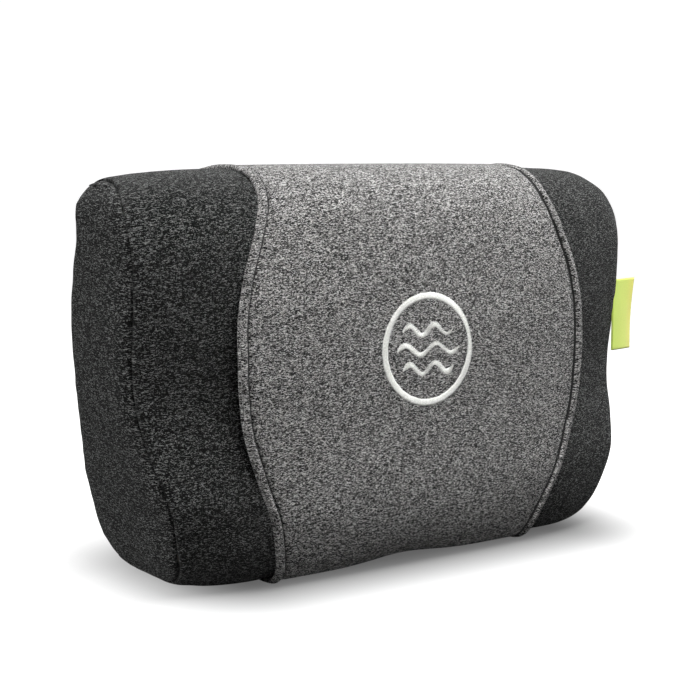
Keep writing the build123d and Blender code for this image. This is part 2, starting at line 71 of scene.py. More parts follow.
# The seam round the end panel, (x, y, z), point for point.
END_SEAM = np.array([
    (148, 10, 3), (148, -14, 3.5), (149.5, -28, 7.5), (152.5, -37.5, 17), (157, -43, 32), (161, -46, 50),
    (166, -40, 70), (170, -32, 90), (173, -29, 110), (174.6, -30.4, 130), (175, -33, 150),
    (175, -34, 170), (175.3, -33, 189), (175.3, -27.5, 203.5), (173.2, -18, 214.5),
    (169.8, -6, 221), (167.5, 6, 224), (168.2, 16, 224.5), (171, 25, 221), (174.8, 29.5, 210.5),
    (175.2, 30.5, 192), (175, 37, 172), (175, 40, 150), (173.3, 42, 115), (168.6, 46, 82),
    (163.5, 51, 60), (158.5, 53, 40), (154, 50, 20), (149, 42, 7.5), (148, 28, 3),
], float)
TOP_SEAM = 17.7  # where along that loop the back panel begins and ends
UNDER_SEAM = 28.6
LOOP = len(MIDDLE)
SEAM_LEAN = 0.7  # share of the crease that each of the two panels at an end seam takes, each way
TAIL_BAY_X = 103.0  # the underside is lifted where the flap's tail is tucked in: this far to each side,
TAIL_BAY_BACK = -2.0  # from the front to here,
TAIL_BAY_Z = 4.9  # and this high
ARCH, ARCH_X = 3.2, 30.0  # the underside's middle is lifted between its two lobes: height and spread
SPINE_Z = (58.0, 186.0)  # ends of the upright line that an end panel's rings close on
# Soft undulation of the cloth: size, height and seed.
BAND_SOFT, BAND_PUCKER = (38, 0.9, 1), (9, 0.7, 2)
FLAP_SOFT, FLAP_SAG = (34, 0.75, 11), (120, 1.2, 12)

# Outside of the flap at its middle, from the seam on the top, down the front, to the tail:
# (y, z, half-width there, how far its side edges roll in).
FLAP_LINE = np.array([
    (20, 228.9, 106, 0.5), (5, 231.4, 103, 0.5), (-11, 231.7, 101.3, 1.0), (-27, 229.6, 100.8, 2.4),
    (-40.5, 222.6, 101.8, 4.2), (-48.6, 212.4, 104, 5.0), (-52.0, 203, 107, 4.6), (-53.9, 190, 111.5, 3.9),
    (-55.6, 172, 118, 3.6), (-57.0, 150, 122.5, 3.4), (-57.8, 130, 123.2, 3.2), (-58.2, 110, 122.8, 3.6),
    (-58.8, 90, 120.6, 4.0), (-60.0, 70, 115, 4.4), (-60.6, 52, 108.8, 4.4), (-60.0, 37, 102.8, 4.0),
    (-57.0, 23, 97.9, 2.6), (-52.4, 11.8, 94.4, 1.4), (-45.0, 3.6, 93, 0.6), (-35, 0.7, 92.2, 0.2),
    (-22, 0.5, 91.6, 0), (-4.6, 0.6, 91, 0),
], float)
TAIL_ASIDE = 4.0  # the flap's tail lies this far to the left of the middle
FLAP_T = 2.2  # the flap's thickness, with its lining
HEM = 4.7  # from the flap's edge to its topstitch
HEM_T = 0.5  # the hem is this much thicker,
HEM_CROWN = 0.95  # and fuller between stitches and rim
GROOVE = (1.6, 0.75)  # depth and spread of the groove that the topstitch lies in
GROOVE_VALLEY = (0.6, 2.4)  # and of the dip round it
SEWN_DOWN = 0.7  # how far the flap's back edge is pulled down by its seam
STRIP_X, STRIP_Y = 90.0, (-20.0, -6.0)  # the strips that hold the tail: half-length and breadth

EMBLEM_Z = 127.0  # height of the emblem's middle
RING_R = (28.6, 32.4)  # the ring's inner and outer radius
WAVES = ((18, -11), (22, 0), (18, 11))  # half-length and height of each wave
WAVE_T, WAVE_RISE = 3.4, 3.0  # a wave's thickness, and how far it swings up and down
SATIN_STEP, SATIN_T = 0.52, 0.62  # spacing and thickness of the emblem's threads

CONTROL_Y, CONTROL_Z = 4.0, 150.0  # middle of the control module on the right end
CONTROL_FACE = 175.25  # the end panel is pressed flat here round it


# ---- Curves and meshes ----
def spline(points, v, closed=False):
    """Catmull-Rom curve through points at parameter v, one unit a point."""
    n = len(points)
    v = np.asarray(v, float)
    i = np.floor(v).astype(int)
    if not closed:
        i = np.clip(i, 0, n - 2)
    f = (v - i)[..., None]

    def at(k):
        return points[k % n] if closed else points[np.clip(k, 0, n - 1)]

    a, b, c, d = at(i - 1), at(i), at(i + 1), at(i + 2)
    return 0.5 * (2 * b + (c - a) * f + (2 * a - 5 * b + 4 * c - d) * f**2 + (3 * b - a - 3 * c + d) * f**3)


def smooth(x):
    x = np.clip(x, 0, 1)
    return x * x * (3 - 2 * x)


def even(points, start, end, step, closed=False):
    """Parameters from start to end, evenly spaced along the curve, and the distance to each."""
    fine = np.linspace(start, end, 1200)
    path = spline(points, fine, closed)
    far = np.concatenate([[0], np.cumsum(np.linalg.norm(np.diff(path, axis=0), axis=1))])
    count = max(int(round(far[-1] / step)), 4)
    along = np.linspace(0, far[-1], count + 1)
    return np.interp(along, far, fine), along


def ripple(points, size, height, seed):
    """Soft random undulation, one value a point."""
    scale = 1 / size
    offset = Vector((seed * 7.3, seed * 3.1, seed * 5.7))
    values = [noise.noise(Vector(p) * scale + offset) for p in points]
    return np.array(values) * height


def new_mesh(name, points, faces, flat_places=None, smooth_faces=True):
    """An object from points in millimetres, with the cloth's own coordinates if it has any."""
    mesh = bpy.data.meshes.new(name)
    mesh.from_pydata((np.asarray(points) * MM).tolist(), [], faces)
    if flat_places is not None:
        layer = mesh.attributes.new("knit", "FLOAT_VECTOR", "POINT")
        flat = np.zeros((len(points), 3), np.float32)
        flat[:, :2] = np.asarray(flat_places, np.float32)
        layer.data.foreach_set("vector", flat.ravel())
    mesh.polygons.foreach_set("use_smooth", [smooth_faces] * len(mesh.polygons))
    mesh.update()
    piece = bpy.data.objects.new(name, mesh)
    bpy.context.scene.collection.objects.link(piece)
    return piece


def grid_faces(rows, columns, closed=False):
    """Quads of a grid, whose columns may join up."""
    faces = []
    wrap = columns if closed else columns - 1
    for r in range(rows - 1):
        for c in range(wrap):
            a = r * columns + c
            b = r * columns + (c + 1) % columns
            faces.append((a, b, b + columns, a + columns))
    return faces


def grid_normals(points):
    """Unit normals of a (rows, columns, 3) grid."""
    n = np.cross(np.gradient(points, axis=1), np.gradient(points, axis=0))
    return n / np.maximum(np.linalg.norm(n, axis=2, keepdims=True), 1e-9)


def unit(vectors):
    return vectors / np.linalg.norm(vectors, axis=-1, keepdims=True)


def turn_outwards(piece, split_large=False):
    """Make the faces of a closed mesh point out, after splitting its many-sided ones if asked."""
    made = bmesh.new()
    made.from_mesh(piece.data)
    if split_large:
        bmesh.ops.triangulate(made, faces=[f for f in made.faces if len(f.verts) > 4])
    bmesh.ops.recalc_face_normals(made, faces=made.faces)
    made.to_mesh(piece.data)
    made.free()
    return piece


def thicken(piece, thickness):
    made = piece.modifiers.new("cloth", "SOLIDIFY")
    made.thickness = thickness * MM
    made.offset = -1


def finish_piece(piece, body, slot, *materials):
    for material in materials:
        piece.data.materials.append(material)
    if body:
        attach(piece, body)
    return piece


# ---- Materials ----
class Shade:
    """A material under construction."""

    def __init__(self, name):
        self.material = bpy.data.materials.new(name)
        self.material.use_nodes = True
        self.tree = self.material.node_tree
        self.tree.nodes.clear()
        out = self.tree.nodes.new("ShaderNodeOutputMaterial")
        self.bsdf = self.tree.nodes.new("ShaderNodeBsdfPrincipled")
        self.tree.links.new(self.bsdf.outputs[0], out.inputs[0])

    def node(self, kind, inputs=(), **settings):
        made = self.tree.nodes.new("ShaderNode" + kind)
        for key, value in settings.items():
            setattr(made, key, value)
        for key, value in dict(inputs).items():
            self.put(made.inputs[key], value)
        return made

    def put(self, socket, value):
        if isinstance(value, bpy.types.NodeSocket):
            self.tree.links.new(value, socket)
        else:
            socket.default_value = value

    def math(self, operation, *values):
        made = self.node("Math", operation=operation)
        for k, value in enumerate(values):
            self.put(made.inputs[k], value)
        return made.outputs[0]

    def mix(self, factor, a, b):
        made = self.node("Mix", data_type="RGBA")
        self.put(made.inputs[0], factor)
        self.put(made.inputs[6], a)
        self.put(made.inputs[7], b)
        return made.outputs[2]

    def ramp(self, value, *stops):
        made = self.node("ValToRGB")
        self.put(made.inputs[0], value)
        ramp = made.color_ramp
        while len(ramp.elements) < len(stops):
            ramp.elements.new(0.5)
        for element, (place, colour) in zip(ramp.elements, stops):
            element.position = place
            element.color = (*colour, 1.0)
        return made.outputs[0]

    def scaled(self, vector, scale):
        made = self.node("Mapping", {"Vector": vector, "Scale": scale})
        return made.outputs[0]

    def noise(self, vector, scale, detail=3.0):
        made = self.node("TexNoise", {"Vector": vector, "Scale": scale, "Detail": detail})
        return made.outputs[0]

    def cells(self, vector):
        made = self.node("TexVoronoi", {"Vector": vector, "Scale": 1.0}, feature="F1")
        return self.node("SeparateColor", {0: made.outputs["Color"]}).outputs[0]

    def bump(self, height, distance, strength):
        made = self.node("Bump", {"Height": height, "Distance": distance, "Strength": strength})
        return made.outputs[0]

    def vector(self, operation, a, b=None, output=0):
        made = self.node("VectorMath", {0: a} if b is None else {0: a, 1: b}, operation=operation)
        return made.outputs[output]

    def done(self, **sockets):
        for key, value in sockets.items():
            self.put(self.bsdf.inputs[key.replace("_", " ")], value)
        return self.material


def grey(value):
    return (value, value, value)


def tinted(colour, factor):
    return tuple(min(c * factor, 1.0) for c in colour)


def stitches(shade, cloth, wale, course):
    """Height of plain knit: two slanted legs to each wale, one V a course."""
    split = shade.node("SeparateXYZ", {0: cloth})
    across = shade.math("DIVIDE", split.outputs[0], wale)
    leg = shade.math("PINGPONG", across, 0.5)
    rise = shade.math("DIVIDE", split.outputs[1], course)
    slant = shade.math("MULTIPLY_ADD", leg, 1.3, rise)
    loops = shade.math("ABSOLUTE", shade.math("SINE", shade.math("MULTIPLY", slant, math.pi)))
    legs = shade.math("SINE", shade.math("MULTIPLY", leg, 2 * math.pi))
    return shade.math("MULTIPLY", shade.math("POWER", loops, 0.7), shade.math("POWER", legs, 0.6))


def knit(name, low, middle, high, tone=(1.0, 1.0, 1.0), middle_at=0.5, sheen=0.2):
    """Melange knit: short flecks of light and dark yarn, longer along the courses."""
    shade = Shade(name)
    cloth = shade.node("Attribute", attribute_name="knit").outputs["Vector"]
    wobble = shade.node("TexNoise", {"Vector": cloth, "Scale": 0.9, "Detail": 2.0}).outputs["Color"]
    offset = shade.vector("SUBTRACT", wobble, (0.5, 0.5, 0.5))
    pushed = shade.node("VectorMath", {0: offset, 1: (0.6, 0.12, 0.0), 2: cloth}, operation="MULTIPLY_ADD")
    yarn = pushed.outputs[0]
    long_flecks = shade.cells(shade.scaled(yarn, (1 / 1.15, 1 / 0.34, 1)))
    short_flecks = shade.cells(shade.scaled(yarn, (1 / 0.55, 1 / 0.30, 1)))
    streaks = shade.noise(shade.scaled(cloth, (1 / 2.0, 1 / 0.5, 1)), 1.0, 2.0)
    flecks = shade.math("MULTIPLY_ADD", long_flecks, 0.50, shade.math("MULTIPLY", short_flecks, 0.50))
    flecks = shade.math("MULTIPLY_ADD", streaks, 0.20, flecks)
    flecks = shade.math("SUBTRACT", flecks, 0.10)
    colour = shade.ramp(
        flecks, (0.24, tinted(tone, low)), (middle_at, tinted(tone, middle)), (0.80, tinted(tone, high))
    )
    broad = shade.noise(shade.scaled(cloth, (1 / 22, 1 / 16, 1)), 1.0, 3.0)
    colour = shade.vector("MULTIPLY", colour, shade.math("MULTIPLY_ADD", broad, 0.3, 0.85))
    height = stitches(shade, cloth, 1.1, 0.85)
    fuzz = shade.noise(shade.scaled(cloth, (2.4, 3.4, 1)), 1.0, 4.0)
    height = shade.math("MULTIPLY_ADD", fuzz, 1.1, height)
    height = shade.math("MULTIPLY_ADD", flecks, 0.5, height)
    normal = shade.bump(height, 0.00028, 0.9)
    return shade.done(
        Base_Color=colour, Roughness=0.92, Normal=normal,
        Sheen_Weight=sheen, Sheen_Roughness=0.45, Sheen_Tint=(0.8, 0.8, 0.8, 1), Specular_IOR_Level=0.15,
    )


def thread(name, colour, sheen=0.3):
    """Twisted sewing thread, from the piece's own coordinates, darker in the low places of its twist as
    painted shade.
    """
    shade = Shade(name)
    place = shade.node("TexCoord").outputs["Object"]
    twist = shade.noise(place, 1500.0, 2.0)
    # Painted shade: darker where the twist's bump is low.
    tone = shade.ramp(twist, (0.3, tinted(colour, 0.72)), (0.7, tinted(colour, 1.1)))
    return shade.done(
        Base_Color=tone, Roughness=0.55, Normal=shade.bump(twist, 0.00015, 0.5),
        Sheen_Weight=sheen, Sheen_Roughness=0.4,
    )


def moulded(name, colour, roughness=0.45, grain=900.0, depth=0.00004, **more):
    """Moulded plastic or rubber with a fine spark-eroded grain and slight uneven gloss."""
    shade = Shade(name)
    place = shade.node("TexCoord").outputs["Object"]
    fine = shade.noise(place, grain, 3.0)
    broad = shade.noise(place, 30.0, 3.0)
    tone = shade.ramp(broad, (0.3, tinted(colour, 0.9)), (0.7, tinted(colour, 1.1)))
    rough = shade.math("MULTIPLY_ADD", fine, 0.16, roughness - 0.08)
    return shade.done(Base_Color=tone, Roughness=rough, Normal=shade.bump(fine, depth, 0.6), **more)


def metal(name, colour, roughness=0.3, brushed=(40, 40, 900)):
    """Metal with fine drawn lines and dull patches."""
    shade = Shade(name)
    place = shade.node("TexCoord").outputs["Object"]
    lines = shade.noise(shade.scaled(place, brushed), 1.0, 3.0)
    patches = shade.noise(place, 60.0, 2.0)
    tone = shade.ramp(patches, (0.3, tinted(colour, 0.82)), (0.7, tinted(colour, 1.08)))
    rough = shade.math("MULTIPLY_ADD", lines, 0.25, roughness - 0.12)
    normal = shade.bump(lines, 0.00002, 0.4)
    return shade.done(Base_Color=tone, Roughness=rough, Metallic=1.0, Normal=normal)


def foam_block(name, colour):
    """Open-cell foam: pitted all over, its pits darkened as painted shade."""
    shade = Shade(name)
    place = shade.node("TexCoord").outputs["Object"]
    cells = shade.node("TexVoronoi", {"Vector": place, "Scale": 900.0}).outputs["Distance"]
    # Painted shade: the pits are darker than the foam between them.
    tone = shade.ramp(cells, (0.1, tinted(colour, 0.6)), (0.6, colour))
    return shade.done(Base_Color=tone, Roughness=0.95, Normal=shade.bump(cells, 0.0004, 0.8))


def woven(name, colour, pitch=0.45, contrast=0.35, **more):
    """Plain weave: warp over weft in turn, darker where a yarn dips under as painted shade."""
    shade = Shade(name)
    place = shade.node("TexCoord").outputs["Object"]
    split = shade.node("SeparateXYZ", {0: place})
    flat = shade.math("ADD", split.outputs[0], shade.math("MULTIPLY", split.outputs[1], 0.4))
    warp = shade.math("SINE", shade.math("MULTIPLY", flat, math.pi / (pitch * MM)))
    weft = shade.math("SINE", shade.math("MULTIPLY", split.outputs[2], math.pi / (pitch * MM)))
    over = shade.math("MULTIPLY_ADD", shade.math("MULTIPLY", warp, weft), 0.5, 0.5)
    # Painted shade: darker where the yarn dips under.
    tone = shade.ramp(over, (0.2, tinted(colour, 1 - contrast)), (0.8, tinted(colour, 1.08)))
    return shade.done(Base_Color=tone, Roughness=0.75, Normal=shade.bump(over, 0.00015, 0.6), **more)


DARK = knit("dark_melange_knit", 0.0004, 0.0012, 0.205, (0.98, 1.0, 0.98), 0.62, 0.06)
LIGHT = knit("light_melange_knit", 0.003, 0.040, 0.64, (1.0, 0.985, 0.965), 0.50, 0.10)
LINING = knit("flap_lining_knit", 0.02, 0.05, 0.08, (1.0, 1.0, 1.0), 0.5)
EMBROIDERY = thread("embroidery_thread", (0.93, 0.94, 0.88), 0.6)
TOPSTITCH = thread("topstitch_thread", (0.010, 0.010, 0.010), 0.0)
SLOT_MATERIALS = {
    "dark_knit": woven("cad_dark_cloth", (0.05, 0.05, 0.05)),
    "light_knit": woven("cad_light_cloth", (0.24, 0.24, 0.23)),
    "flap_lining": woven("cad_lining_cloth", (0.05, 0.05, 0.05)),
    "mesh_lining": woven("lining_mesh", (0.05, 0.05, 0.05), 1.2, 0.6),
    "embroidery": woven("cad_embroidery", (0.75, 0.75, 0.7)),
    "ribbon": woven("cad_ribbon", (0.6, 0.7, 0.2)),
    "hook_and_loop": foam_block("hook_and_loop_pile", (0.05, 0.05, 0.05)),
    "zip_tape": woven("zip_tape_weave", (0.02, 0.02, 0.02)),
    "zip_metal": metal("gunmetal", (0.30, 0.30, 0.31)),
    "foam": foam_block("open_cell_foam", (0.70, 0.68, 0.60)),
    "black_plastic": moulded("black_moulding", (0.022, 0.022, 0.024), 0.5),
    "gear_plastic": moulded("natural_acetal", (0.78, 0.77, 0.71), 0.35),
    "node_plastic": moulded("massage_node_plastic", (0.84, 0.83, 0.79), 0.28),
    "steel": metal("drawn_steel", (0.56, 0.56, 0.57)),
    "magnet": moulded("ferrite", (0.07, 0.07, 0.075), 0.6),
    "copper_winding": metal("enamelled_copper", (0.72, 0.32, 0.14), 0.35, (1500, 1500, 60)),
    "bronze": metal("sintered_bronze", (0.55, 0.38, 0.19), 0.42, (700, 700, 700)),
    "cell_wrap": moulded("cell_sleeve", (0.05, 0.17, 0.38), 0.25),
    "board": moulded("solder_mask", (0.02, 0.14, 0.055), 0.3),
    "component": moulded("component_epoxy", (0.03, 0.03, 0.03), 0.45),
    "button_gloss": moulded("button_plastic", (0.05, 0.05, 0.052), 0.33),
    "lens": moulded("light_lens", (0.7, 0.85, 0.78), 0.15, Transmission_Weight=0.6),
    "lead": moulded("lead_sleeve", (0.25, 0.03, 0.03), 0.4),
}


def dress_cad_nodes():
    slots = {row["node"]: row["material_slot"] for row in frame["record"]["subparts"]}
    for name, node in frame["nodes"].items():
        material = SLOT_MATERIALS[slots[name]]
        for place in node.material_slots:
            place.material = material
        if not node.material_slots:
            node.data.materials.append(material)


# ---- Cover ----
SEAM_TABLE = END_SEAM[np.argsort(END_SEAM[:, 2])]


def half_width(z):
    """The end seam's distance from the middle at a height."""
    return np.interp(z, SEAM_TABLE[:, 2], SEAM_TABLE[:, 0])


def cover_point(v, t):
    """A point of the cover: v round the section, t from -1 to 1 between the two end seams."""
    middle = spline(MIDDLE, v, closed=True)
    seam = spline(END_SEAM, v, closed=True)
    roll = np.abs(t) ** spline(ROLL[:, None], v, closed=True)[..., 0]
    x = t * seam[..., 0]
    y = middle[..., 0] + (seam[..., 1] - middle[..., 0]) * roll
    z = middle[..., 1] + (seam[..., 2] - middle[..., 1]) * roll
    return np.stack([x, y, z], axis=-1)


def tail_bay(points, deeper=0.0):
    """Lift the underside where the flap's tail is tucked in."""
    x, y, z = points[..., 0], points[..., 1], points[..., 2]
    floor = deeper + TAIL_BAY_Z + ARCH * np.exp(-((x / ARCH_X) ** 2))
    inside = smooth((TAIL_BAY_X - np.abs(x)) / 3) * smooth((TAIL_BAY_BACK - y) / 3 + 0.5)
    lifted = np.maximum(z, floor * inside)
    points[..., 2] = np.where(z < floor, lifted, z)
    return points


def seam_dip(far, scale=1.0):
    """How far a panel turns in at a distance from its seam."""
    soft = VALLEY[0] * np.exp(-((far / VALLEY[1]) ** 1.4))
    return scale * (soft + CREASE[0] * np.exp(-((far / CREASE[1]) ** 1.6)))


def seam_out(v):
    """Unit (y, z) direction away from the end panel's middle, in its plane, at places round its seam."""
    ahead = spline(END_SEAM, v + 0.05, closed=True) - spline(END_SEAM, v - 0.05, closed=True)
    run = unit(ahead[..., 1:])
    return np.stack([-run[..., 1], run[..., 0]], axis=-1)


def graded(length, step):
    """Places from 0 to length, close together at both ends."""
    near = np.cumsum([0.0, 0.25, 0.25, 0.3, 0.35, 0.4, 0.55, 0.75, 1.0, 1.4])
    count = max(int(round((length - 2 * near[-1]) / step)), 1)
    between = np.linspace(near[-1], length - near[-1], count + 1)[1:-1]
    return np.concatenate([near, between, length - near[::-1]])


def panel_rows(start, end):
    """Parameters of a panel's rows and their distance along it."""
    fine_v, fine_along = even(MIDDLE, start, end, 0.5, closed=True)
    along = graded(fine_along[-1], STEP)
    return np.interp(along, fine_along, fine_v), along


def panel(name, start, end):
    """One panel of the cover between two places round the section, from end seam to end seam."""
    v, along = panel_rows(start, end)
    half = END_SEAM[:, 0].max()
    t = graded(2 * half, STEP) / half - 1
    grid_v, grid_t = np.meshgrid(v, t, indexing="ij")
    points = cover_point(grid_v, grid_t)
    normals = grid_normals(points)
    if np.mean(normals[..., 1] * points[..., 1]) < 0:
        normals = -normals
    width = half_width(points[..., 2])
    from_end = (1 - np.abs(grid_t)) * width
    from_edge = np.minimum(along, along[-1] - along)[:, None]
    dip = seam_dip(from_edge, 0.7) * (1 - np.exp(-from_end / 3))
    corner = seam_dip(from_end)
    soft = ripple(points.reshape(-1, 3), *BAND_SOFT).reshape(dip.shape)
    pucker = ripple(points.reshape(-1, 3), *BAND_PUCKER).reshape(dip.shape)
    near = np.exp(-from_end / 14)
    held = 1 - np.exp(-((np.minimum(from_end, from_edge + 2) / 4) ** 2))
    points = points + normals * ((soft + pucker * near) * held - dip)[..., None]
    points[..., 0] -= np.sign(grid_t) * corner * SEAM_LEAN
    points[..., 1:] -= seam_out(grid_v) * (corner * SEAM_LEAN)[..., None]
    points = tail_bay(points)
    points[..., 2] = np.maximum(points[..., 2], 0.0)
    flat = np.stack([points[..., 0], np.broadcast_to(along[:, None], dip.shape)], axis=-1)
    piece = new_mesh(name, points.reshape(-1, 3), grid_faces(*dip.shape), flat.reshape(-1, 2))
    return outward(piece)


def outward(piece):
    """Turn the faces of an open shell away from the pillow's middle."""
    mesh = piece.data
    centre = Vector((0, 0, 0.115))
    total = sum((f.center - centre).dot(f.normal) * f.area for f in mesh.polygons)
    if total < 0:
        mesh.flip_normals()
    return piece


def spine_of(seam):
    """The upright line in the middle of an end that its rings close on, one (y, z) a seam point."""
    z = np.clip(seam[:, 2], *SPINE_Z)
    front_rows, back_rows = END_SEAM[5:14], END_SEAM[19:27][::-1]
    front = np.interp(z, front_rows[:, 2], front_rows[:, 1])
    back = np.interp(z, back_rows[:, 2], back_rows[:, 1])
    return np.stack([(front + back) / 2, z], axis=-1)


def end_rings(v, rings, inset=0.0, last=1.0):
    """Crowned end inside the right-hand seam, as rings from the seam inwards: points, depths."""
    seam = spline(END_SEAM, v, closed=True)
    spine = spine_of(seam)
    reach = np.linalg.norm(seam[:, 1:] - spine, axis=1)
    q = (np.linspace(0, 1, rings) ** 2.2)[:, None] * last
    q = q + (1 - q) * np.minimum(inset / np.maximum(reach, 1), 0.5)
    y = seam[:, 1] + (spine[:, 0] - seam[:, 1]) * q
    z = seam[:, 2] + (spine[:, 1] - seam[:, 2]) * q
    inward = q * reach
    bulge = END_BULGE * (1 - np.exp(-inward / END_BULGE_RUN))
    return np.stack([half_width(z) + bulge - inset, y, z], axis=-1), inward


def end_panel(side, name):
    """Gusset inside one end seam: softly crowned, pressed flat round the control on the right."""
    front, _ = panel_rows(UNDER_SEAM - LOOP, TOP_SEAM)
    back, _ = panel_rows(TOP_SEAM, UNDER_SEAM)
    v = np.concatenate([front[:-1], back[:-1]])
    points, inward = end_rings(v, 34)
    rings, columns = inward.shape
    y, z = points[..., 1], points[..., 2]
    flat = points.reshape(-1, 3).copy()
    corner = seam_dip(inward)
    points[..., 0] -= corner * SEAM_LEAN
    points[..., 1:] -= seam_out(v) * (corner * SEAM_LEAN)[..., None]
    soft = (ripple(flat, 30, 1.2, 3 + side) + ripple(flat, 10, 0.5, 6 + side)).reshape(inward.shape)
    points[..., 0] += soft * np.minimum(inward / 6, 1)
    if side > 0:
        pressed = smooth((24 - np.abs(y - CONTROL_Y)) / 8) * smooth((42 - np.abs(z - CONTROL_Z)) / 10)
        points[..., 0] += (CONTROL_FACE - points[..., 0]) * pressed
    points[..., 0] *= side
    faces = grid_faces(rings, columns, closed=True)
    flat_places = np.stack([flat[:, 1] * 0.75 + 400, flat[:, 2]], axis=-1)
    piece = new_mesh(name, points.reshape(-1, 3), faces, flat_places)
    made = bmesh.new()
    made.from_mesh(piece.data)
    bmesh.ops.remove_doubles(made, verts=made.verts, dist=0.05 * MM)
    if side > 0:
        middle = Vector((0, CONTROL_Y, CONTROL_Z)) * MM
        places = [(f, f.calc_center_median() - middle) for f in made.faces]
        hole = [f for f, far in places if abs(far.y) < 9.5 * MM and abs(far.z) < 24.5 * MM]
        bmesh.ops.delete(made, geom=hole, context="FACES")
    made.to_mesh(piece.data)
    made.free()
    return outward(piece)


# ---- Foam in the cover ----
FOAM_INSET = 4.8  # from the cover's outside to the foam
HOUSING_X, HOUSING_Y, HOUSING_Z = 112.6, (-6.1, 31.6), (25.4, 172.6)
WINDOW_X, WINDOW_Z = 108.5, (61.0, 169.0)  # the massage window in the front
CONTROL_LEAD = [
    (97.3, 17, 48), (118, 17, 49), (137, 14, 64), (147, 9, 92), (150, 5, 116), (151, 4, 131), (157, 4, 137),
]


def box_mesh(name, low, high):
    x0, y0, z0 = low
    x1, y1, z1 = high
    points = [(x, y, z) for z in (z0, z1) for x, y in ((x0, y0), (x1, y0), (x1, y1), (x0, y1))]
    faces = [(3, 2, 1, 0), (4, 5, 6, 7), (0, 1, 5, 4), (1, 2, 6, 5), (2, 3, 7, 6), (3, 0, 4, 7)]
    return new_mesh(name, points, faces, smooth_faces=False)


def tube_mesh(name, path, radius, sides=12):
    path = np.array(path, float)
    path = spline(path, np.linspace(0, len(path) - 1, 8 * len(path)))
    points = []
    run = np.gradient(path, axis=0)
    for place, way in zip(path, unit(run)):
        side = np.cross(way, (0.0, 1.0, 0.0))
        side /= np.linalg.norm(side)
        up = np.cross(side, way)
        for a in np.arange(sides) * 2 * math.pi / sides:
            points.append(place + (side * math.cos(a) + up * math.sin(a)) * radius)
    faces = grid_faces(len(path), sides, closed=True)
    faces += [tuple(range(sides - 1, -1, -1)), tuple(range((len(path) - 1) * sides, len(path) * sides))]
    return new_mesh(name, points, faces)


def carve(name, body, steps):
    """A copy of the body's mesh after cutting it with each (operation, tool)."""
    piece = bpy.data.objects.new(name, body.data.copy())
    bpy.context.scene.collection.objects.link(piece)
    for operation, tool in steps:
        cut = piece.modifiers.new("cut", "BOOLEAN")
        cut.operation = operation
        cut.object = tool
        cut.solver = "EXACT"
    bpy.context.view_layer.update()
    seen = piece.evaluated_get(bpy.context.evaluated_depsgraph_get())
    mesh = bpy.data.meshes.new_from_object(seen)
    piece.modifiers.clear()
    piece.data = mesh
    mesh.polygons.foreach_set("use_smooth", [True] * len(mesh.polygons))
    mesh.set_sharp_from_angle(angle=math.radians(35))
    return piece


def foam_body():
    """The cover's inside as one closed mesh."""
    v = even(MIDDLE, 0, LOOP, 4.0, closed=True)[0][:-1]
    right, _ = end_rings(v, 9, FOAM_INSET, 0.93)
    t = np.sin(np.linspace(-1, 1, 71) * math.pi / 2 * 0.72) / math.sin(math.pi / 2 * 0.72)
    share = (right[0, :, 0] / spline(END_SEAM, v, closed=True)[:, 0]).min()
    grid_t, grid_v = np.meshgrid(t * share, v, indexing="ij")
    band = cover_point(grid_v, grid_t)
    direction = np.roll(band, -1, axis=1) - np.roll(band, 1, axis=1)
    direction[..., 0] = 0
    direction = unit(direction)
    inner = np.stack([direction[..., 0], direction[..., 2], -direction[..., 1]], axis=-1)
    spine = np.array([0.0, 0.0, 115.0])
    if np.mean(np.sum((band - spine) * inner, axis=2)) > 0:
        inner = -inner
    band = band + inner * FOAM_INSET
    band = tail_bay(band, FOAM_INSET)
    caps = right[1:]
    left = caps[::-1] * np.array([-1.0, 1.0, 1.0])
    rows = np.concatenate([left, band, caps])
    columns = len(v)
    faces = grid_faces(len(rows), columns, closed=True)
    total = len(rows) * columns
    faces += [tuple(range(columns)), tuple(range(total - 1, total - columns - 1, -1))]
    return turn_outwards(new_mesh("foam_shape", rows.reshape(-1, 3), faces), split_large=True)


def foam():
    body = foam_body()
    far = 300.0
    low, high = HOUSING_Z
    core = (-HOUSING_X + 0.4, HOUSING_X - 0.4)
    boxes = {
        "foam_end_left": ((-far, -far, -far), (-HOUSING_X, far, far)),
        "foam_end_right": ((HOUSING_X, -far, -far), (far, far, far)),
        "foam_top": ((core[0], -far, high), (core[1], far, far)),
        "foam_bottom": ((core[0], -far, -far), (core[1], far, low)),
        "foam_back_pad": ((core[0], HOUSING_Y[1], low + 0.2), (core[1], far, high - 0.2)),
        "foam_front_frame": ((core[0], -far, low + 0.2), (core[1], HOUSING_Y[0], high - 0.2)),
    }
    window = box_mesh("window", (-WINDOW_X, -far, WINDOW_Z[0]), (WINDOW_X, far, WINDOW_Z[1]))
    pocket = box_mesh("pocket", (150, -8, 123), (250, 16, 177))
    channel = tube_mesh("channel", CONTROL_LEAD, 4.6)
    more = {"foam_front_frame": [window], "foam_end_right": [pocket, channel]}
    tools = [window, pocket, channel, body]
    for node, (corner, other) in boxes.items():
        block = box_mesh("block", corner, other)
        tools.append(block)
        steps = [("INTERSECT", block)] + [("DIFFERENCE", tool) for tool in more.get(node, [])]
        piece = carve(node.replace("foam", "pad"), body, steps)
        piece.data.materials.clear()
        finish_piece(piece, "pillow", "foam", SLOT_MATERIALS["foam"])
        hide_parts(node)
    for tool in tools:
        bpy.data.objects.remove(tool)


def cover():
    front = panel("cover_band", UNDER_SEAM - LOOP, TOP_SEAM)
    back = panel("back_panel", TOP_SEAM, UNDER_SEAM)
    left = end_panel(-1, "left_gusset")
    right = end_panel(1, "right_gusset")
    rows = ((front, "cover_front_panel"), (back, "cover_back_panel"),
            (left, "end_panel_left"), (right, "end_panel_right"))
    for piece, node in rows:
        thicken(piece, CLOTH)
        finish_piece(piece, "pillow", "dark_knit", DARK)
        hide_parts(node)


